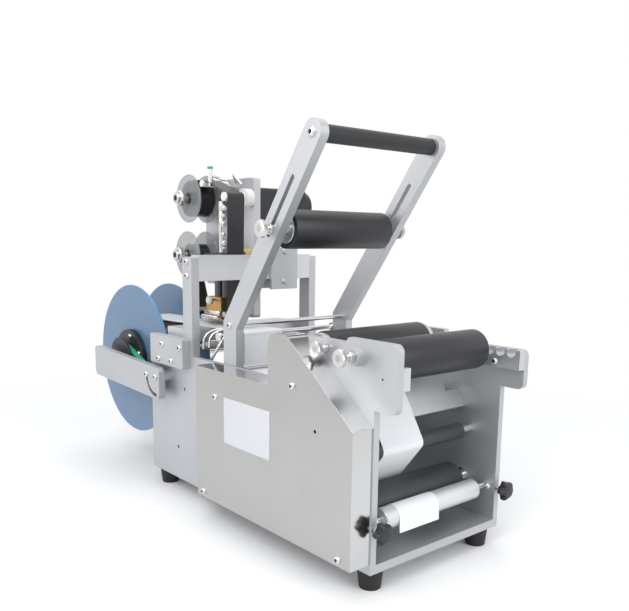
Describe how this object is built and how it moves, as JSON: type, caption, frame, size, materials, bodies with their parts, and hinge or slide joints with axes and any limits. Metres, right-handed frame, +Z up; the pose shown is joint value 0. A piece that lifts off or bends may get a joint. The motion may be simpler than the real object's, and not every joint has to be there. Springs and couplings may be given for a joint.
{
  "type": "bottle labelling machine",
  "caption": "Tabletop machine that turns a bottle on powered rollers under a pivoting press roller while it peels, date-stamps and applies a label.",
  "frame": {"origin": "on the floor under the middle of the machine's outer box", "axes": "+Z up; +Y from the operator's front edge to the label reel at the rear; +X to the operator's right"},
  "size_m": [0.2816, 0.742, 0.5024],
  "materials": {
    "plate_aluminium": "bead-blasted, clear anodised",
    "stainless": "fine brushed stainless",
    "zinc_steel": "bright plated",
    "chrome": "polished",
    "black_rubber": "matt",
    "black_plastic": "moulded",
    "white_nylon": "turned",
    "blue_disc": "glossy sheet",
    "smoke_disc": "clear acrylic",
    "brass": "machined",
    "paper": "wound label paper",
    "green_strap": "woven strap",
    "red_button": "moulded",
    "green_button": "moulded",
    "motor_black": "black"
  },
  "bodies": {
    "frame": {"base_plate": "plate_aluminium", "left_side_plate": "plate_aluminium", "right_side_plate": "plate_aluminium", "rubber_feet": "black_rubber", "front_combs": "plate_aluminium", "front_cross_bar": "plate_aluminium", "peel_plate": "stainless", "side_cover": "stainless", "control_housing": "stainless", "rear_panel": "plate_aluminium", "power_inlet": "black_plastic", "roller_bearings": "chrome", "drive_motor": "motor_black", "drive_belts": "black_rubber", "controller_box": "motor_black", "press_pivot_pins": "zinc_steel", "frame_screws": "zinc_steel", "gantry_posts": "plate_aluminium", "gantry_beam": "plate_aluminium", "print_platen": "plate_aluminium", "reel_brackets": "plate_aluminium"},
    "start_button": {"start_button": "green_button"},
    "stop_button": {"stop_button": "red_button"},
    "power_rocker": {"power_rocker": "black_plastic"},
    "rear_roller": {"rear_roller": "black_rubber"},
    "front_roller": {"front_roller": "black_rubber"},
    "drive_roller": {"drive_roller": "black_rubber"},
    "motor_pulley": {"motor_pulley": "zinc_steel"},
    "guide_roller": {"guide_roller": "black_rubber"},
    "web_roller": {"web_roller": "plate_aluminium"},
    "pinch_axle": {"pinch_axle": "chrome"},
    "pinch_roller": {"pinch_roller": "plate_aluminium"},
    "left_star_knob": {"left_star_knob": "black_plastic"},
    "right_star_knob": {"right_star_knob": "black_plastic"},
    "front_lock_screw": {"front_lock_screw": "zinc_steel"},
    "rear_lock_screw": {"rear_lock_screw": "zinc_steel"},
    "press_frame": {"press_arms": "plate_aluminium", "handle_tube": "black_rubber", "tie_rod": "chrome", "press_frame_screws": "zinc_steel"},
    "press_carriage": {"press_axle": "chrome"},
    "press_roller": {"press_roller": "black_rubber"},
    "left_thumb_screw": {"left_thumb_screw": "zinc_steel"},
    "right_thumb_screw": {"right_thumb_screw": "zinc_steel"},
    "reel_frame": {"reel_arms": "plate_aluminium", "brake_strap": "green_strap"},
    "reel": {"reel_hub": "black_plastic", "reel_discs": "blue_disc", "label_roll": "paper"},
    "coder": {"coder_plate": "plate_aluminium", "coder_clamp": "plate_aluminium", "coder_housing": "black_plastic", "head_holder": "black_plastic"},
    "print_head": {"print_head": "brass"},
    "supply_reel": {"supply_spool": "black_plastic", "supply_discs": "smoke_disc"},
    "takeup_reel": {"takeup_spool": "black_plastic", "takeup_discs": "smoke_disc"},
    "ribbon_roller_front": {"ribbon_roller_front": "white_nylon"},
    "ribbon_roller_rear": {"ribbon_roller_rear": "white_nylon"}
  },
  "joints": [
    {"name": "start_button_press", "type": "slide", "parent": "frame", "child": "start_button", "axis": [-1, 0, 0], "range_m": [0, 0.0015], "stiffness_N_per_m": 400},
    {"name": "stop_button_press", "type": "slide", "parent": "frame", "child": "stop_button", "axis": [-1, 0, 0], "range_m": [0, 0.0015], "stiffness_N_per_m": 400},
    {"name": "power_rocker_tilt", "type": "hinge", "parent": "frame", "child": "power_rocker", "pos_m": [0.055, 0.1275, 0.0945], "axis": [1, 0, 0], "range_deg": [-14, 0]},
    {"name": "drive_roller_spin", "type": "hinge", "parent": "frame", "child": "drive_roller", "pos_m": [0, -0.2875, 0.077], "axis": [1, 0, 0], "continuous": true},
    {"name": "motor_spin", "type": "hinge", "parent": "frame", "child": "motor_pulley", "pos_m": [0, -0.215, 0.105], "axis": [1, 0, 0], "continuous": true},
    {"name": "rear_roller_spin", "type": "hinge", "parent": "frame", "child": "rear_roller", "pos_m": [0, -0.225, 0.247], "axis": [1, 0, 0], "continuous": true},
    {"name": "front_roller_spin", "type": "hinge", "parent": "frame", "child": "front_roller", "pos_m": [0, -0.314, 0.247], "axis": [1, 0, 0], "continuous": true},
    {"name": "guide_roller_spin", "type": "hinge", "parent": "frame", "child": "guide_roller", "pos_m": [0, -0.298, 0.1425], "axis": [1, 0, 0], "continuous": true},
    {"name": "web_roller_spin", "type": "hinge", "parent": "frame", "child": "web_roller", "pos_m": [0, 0.03, 0.222], "axis": [1, 0, 0], "continuous": true},
    {"name": "pinch_axle_slide", "type": "slide", "parent": "frame", "child": "pinch_axle", "axis": [0, -1, 0], "range_m": [0, 0.006]},
    {"name": "pinch_roller_spin", "type": "hinge", "parent": "pinch_axle", "child": "pinch_roller", "pos_m": [0, -0.32257, 0.074], "axis": [1, 0, 0], "continuous": true},
    {"name": "left_star_knob_turn", "type": "hinge", "parent": "frame", "child": "left_star_knob", "pos_m": [-0.106, -0.352, 0.074], "axis": [0, 1, 0], "continuous": true},
    {"name": "right_star_knob_turn", "type": "hinge", "parent": "frame", "child": "right_star_knob", "pos_m": [0.106, -0.352, 0.074], "axis": [0, 1, 0], "continuous": true},
    {"name": "front_lock_screw_turn", "type": "hinge", "parent": "frame", "child": "front_lock_screw", "pos_m": [0, -0.317, 0.257], "axis": [1, 0, 0], "continuous": true},
    {"name": "rear_lock_screw_turn", "type": "hinge", "parent": "frame", "child": "rear_lock_screw", "pos_m": [0, -0.264, 0.258], "axis": [1, 0, 0], "continuous": true},
    {"name": "press_frame_tilt", "type": "hinge", "parent": "frame", "child": "press_frame", "pos_m": [0, -0.063, 0.185], "axis": [1, 0, 0], "range_deg": [-12, 36]},
    {"name": "press_carriage_slide", "type": "slide", "parent": "press_frame", "child": "press_carriage", "axis": [0, -0.5835, 0.8121], "range_m": [-0.008, 0.07]},
    {"name": "press_roller_spin", "type": "hinge", "parent": "press_carriage", "child": "press_roller", "pos_m": [0, -0.15141, 0.38503], "axis": [1, 0, 0], "continuous": true},
    {"name": "left_thumb_screw_turn", "type": "hinge", "parent": "press_carriage", "child": "left_thumb_screw", "pos_m": [0, -0.15141, 0.38503], "axis": [1, 0, 0], "continuous": true},
    {"name": "right_thumb_screw_turn", "type": "hinge", "parent": "press_carriage", "child": "right_thumb_screw", "pos_m": [0, -0.15141, 0.38503], "axis": [1, 0, 0], "continuous": true},
    {"name": "reel_frame_tilt", "type": "hinge", "parent": "frame", "child": "reel_frame", "pos_m": [0, 0.086, 0.174], "axis": [1, 0, 0], "range_deg": [0, 12]},
    {"name": "reel_spin", "type": "hinge", "parent": "reel_frame", "child": "reel", "pos_m": [0, 0.25, 0.174], "axis": [1, 0, 0], "continuous": true},
    {"name": "coder_slide", "type": "slide", "parent": "frame", "child": "coder", "axis": [1, 0, 0], "range_m": [-0.03, 0.01]},
    {"name": "print_head_stroke", "type": "slide", "parent": "coder", "child": "print_head", "axis": [0, 0, -1], "range_m": [0, 0.005], "stiffness_N_per_m": 1500},
    {"name": "supply_reel_spin", "type": "hinge", "parent": "coder", "child": "supply_reel", "pos_m": [0, 0.145, 0.431], "axis": [1, 0, 0], "continuous": true},
    {"name": "takeup_reel_spin", "type": "hinge", "parent": "coder", "child": "takeup_reel", "pos_m": [0, 0.15, 0.346], "axis": [1, 0, 0], "continuous": true},
    {"name": "ribbon_roller_front_spin", "type": "hinge", "parent": "coder", "child": "ribbon_roller_front", "pos_m": [0, 0.047, 0.431], "axis": [1, 0, 0], "continuous": true},
    {"name": "ribbon_roller_rear_spin", "type": "hinge", "parent": "coder", "child": "ribbon_roller_rear", "pos_m": [0, 0.106, 0.452], "axis": [1, 0, 0], "continuous": true}
  ],
  "couplings": [
    {"joint": "motor_spin", "follows": "drive_roller_spin", "ratio": 1.6667},
    {"joint": "rear_roller_spin", "follows": "drive_roller_spin", "ratio": 1},
    {"joint": "pinch_roller_spin", "follows": "drive_roller_spin", "ratio": -1.8145}
  ]
}
